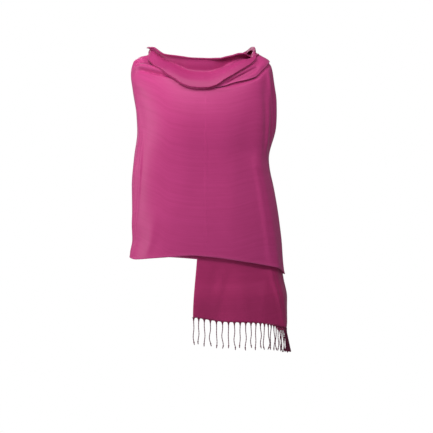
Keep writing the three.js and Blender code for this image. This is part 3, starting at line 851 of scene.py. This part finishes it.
# The strands fall from the tail's edge and lean out round the side: each sways by sway * sin(turns *
# part) and ripples by ripple * sin(2 pi * (turns * part + its own)), both more towards the tip
def makeFrontFringe():
    strand = np.arange(fringe["count"])[:, None]
    part = np.linspace(0, 1, fringe["steps"])[None, :]
    share = (strand + frontHang["firstPlace"]) / fringe["count"]
    across = share + frontHang["crowding"] * np.sin(2 * np.pi * share)
    angle = tailAngle(across, np.ones_like(across))
    hem = curveAt(tailSheet["hemAngle"], tailSheet["hem"], angle)
    root = tailPoint(angle, hem - frontHang["rootUp"])
    outward = formNormal(angle, hem)
    sideways = np.stack([-outward[..., 1], outward[..., 0], np.zeros_like(angle)], -1)
    sideways /= np.linalg.norm(sideways, axis=-1, keepdims=True)
    lean = math.tan(math.radians(frontHang["lean"])) * easeBetween(*frontHang["leans"], angle)
    length = fringe["length"] - fringe["shorter"] * easeBetween(*frontHang["shortens"], angle)
    length = length * (1 + fringe["lengthSpread"] * uneven(strand, 1))
    sway = frontHang["sway"] * uneven(strand, 2) * np.sin(frontHang["swayTurns"] * part)
    ripple = frontHang["ripple"] + frontHang["rippleSpread"] * uneven(strand, 6)
    ripple = ripple * np.sin(2 * np.pi * (frontHang["rippleTurns"] * part + uneven(strand, 7)))
    fall = np.zeros((*np.broadcast(strand, part).shape, 3))
    fall[..., 2] = -part * length
    out = part * (fringe["length"] * lean + frontHang["swing"] * uneven(strand, 3))
    paths = root + fall + sideways * ((sway + ripple) * part)[..., None] + outward * out[..., None]
    return strandPiece("frontStrands", paths, sideways, fringeMaterial)


frontStrands = makeFrontFringe()
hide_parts("front_fringe")

# Where the back strands start, and how they droop and stand out
backHang = {
    "topStep": 2 / 18,  # share down at which the solid's strip starts
    "below": 4,  # from the strip's top to the first strand
    "ends": 7,  # what the strands leave free at its top and bottom together
    "droop": 52,  # degrees
    "droopSpread": 5,
    "rootBend": 0.55,  # of the droop that a strand has at its root
    "out": 1.6,
    "outSpread": 0.6,
}


# The strands leave the upright edge at the back and bend down under their own weight: the slope grows
# with the root of the way along
def makeBackFringe():
    strand = np.arange(fringe["count"])[:, None]
    part = np.linspace(0, 1, fringe["steps"])[None, :]
    bottom = outerSheet["hem"][-1]
    top = bottom * backHang["topStep"] ** outerSheet["crowding"]
    run = bottom - backHang["ends"] - top
    drop = top + backHang["below"] + run * strand / (fringe["count"] - 1)
    slope = np.radians(backHang["droop"] + backHang["droopSpread"] * uneven(strand, 4))
    bend = slope * (backHang["rootBend"] + (1 - backHang["rootBend"]) * np.sqrt(part))
    reach = part * fringe["length"] * (1 + fringe["lengthSpread"] * uneven(strand, 5))
    angle = outerSheet["to"] + (reach * np.cos(bend)) / form["girth"]
    out = (backHang["out"] + backHang["outSpread"] * uneven(strand, 8)) * part
    paths = clothPoint(angle, drop + reach * np.sin(bend), out)
    upright = np.broadcast_to(np.array([0.0, 0.0, 1.0]), (fringe["count"], 1, 3))
    return strandPiece("backStrands", paths, upright, fringeMaterial)


backStrands = makeBackFringe()
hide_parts("back_fringe")

# Studio: a white room, two soft lights in front, one at each side, one behind, and a pale floor
studio = {
    # place, aim, size and power of each light
    "keyLight": ((-0.20, -1.00, 0.62), (0.0, -0.1, -0.2), 0.4, 8.5),
    "frontLight": ((-0.35, -0.55, 0.75), (0.0, -0.1, -0.2), 0.4, 2.2),
    "sideLight": ((-1.95, -0.60, -0.20), (0.0, 0.0, -0.3), 0.7, 20),
    "fillLight": ((0.75, -0.95, 0.80), (0.15, 0.0, -0.1), 0.5, 6),
    "backLight": ((-0.60, 2.20, 0.90), (0.0, 0.0, -0.4), 1.4, 24),
    "roomLight": 0.16,
    "floorHeight": -1.42,
    "floorRadius": 1.6,
    "floorCorners": 96,
    "floorGrey": (0.82, 0.82, 0.82, 1),
    "floorRoughness": 0.9,
    "cameraPlace": (0.0435, -6, -0.4695),
    "cameraSensor": 36,
    "cameraLens": 166.3,
}


# Round lamp, turned so that it looks at its aim
def softLight(name, place, aim, size, power):
    light = bpy.data.lights.new(name, "AREA")
    light.shape = "DISK"
    light.size = size
    light.energy = power
    lamp = bpy.data.objects.new(name, light)
    lamp.location = place
    way = np.array(aim) - np.array(place)
    lamp.rotation_euler = (math.atan2(math.hypot(way[0], way[1]), -way[2]), 0, math.atan2(-way[0], way[1]))
    bpy.context.scene.collection.objects.link(lamp)


for lightName in ("keyLight", "frontLight", "sideLight", "fillLight", "backLight"):
    softLight(lightName, *studio[lightName])

# The room looks white, and lights the cloth far less than it looks
world = bpy.data.worlds.new("studioRoom")
bpy.context.scene.world = world
world.use_nodes = True
room = world.node_tree
background = room.nodes["Background"]
background.inputs["Color"].default_value = (1, 1, 1, 1)
seen = addNode(room, "ShaderNodeLightPath")
strength = addNode(room, "ShaderNodeMix", data_type="FLOAT")
strength.inputs["A"].default_value = studio["roomLight"]
strength.inputs["B"].default_value = 1.0
room.links.new(seen.outputs["Is Camera Ray"], strength.inputs["Factor"])
room.links.new(strength.outputs["Result"], background.inputs["Strength"])

corners = studio["floorCorners"]
bearing = np.linspace(0, 2 * np.pi, corners, endpoint=False)
floorMesh = bpy.data.meshes.new("studioFloor")
floorRim = np.stack([np.cos(bearing), np.sin(bearing), np.zeros(corners)], -1) * studio["floorRadius"]
floorRim[:, 2] = studio["floorHeight"]
floorMesh.from_pydata(floorRim.tolist(), [], [list(range(corners))])
floorMaterial = bpy.data.materials.new("paleFloor")
floorMaterial.use_nodes = True
floorShader = floorMaterial.node_tree.nodes["Principled BSDF"]
floorShader.inputs["Base Color"].default_value = studio["floorGrey"]
floorShader.inputs["Roughness"].default_value = studio["floorRoughness"]
floorMesh.materials.append(floorMaterial)
studioFloor = bpy.data.objects.new("studioFloor", floorMesh)
bpy.context.scene.collection.objects.link(studioFloor)

# Camera: level, 6 m in front
camera = bpy.data.cameras.new("frontCamera")
camera.sensor_width = studio["cameraSensor"]
camera.lens = studio["cameraLens"]
cameraPlace = bpy.data.objects.new("frontCamera", camera)
cameraPlace.location = studio["cameraPlace"]
cameraPlace.rotation_euler = (math.pi / 2, 0, 0)
bpy.context.scene.collection.objects.link(cameraPlace)
bpy.context.scene.camera = cameraPlace
bpy.context.scene.view_settings.view_transform = "Standard"
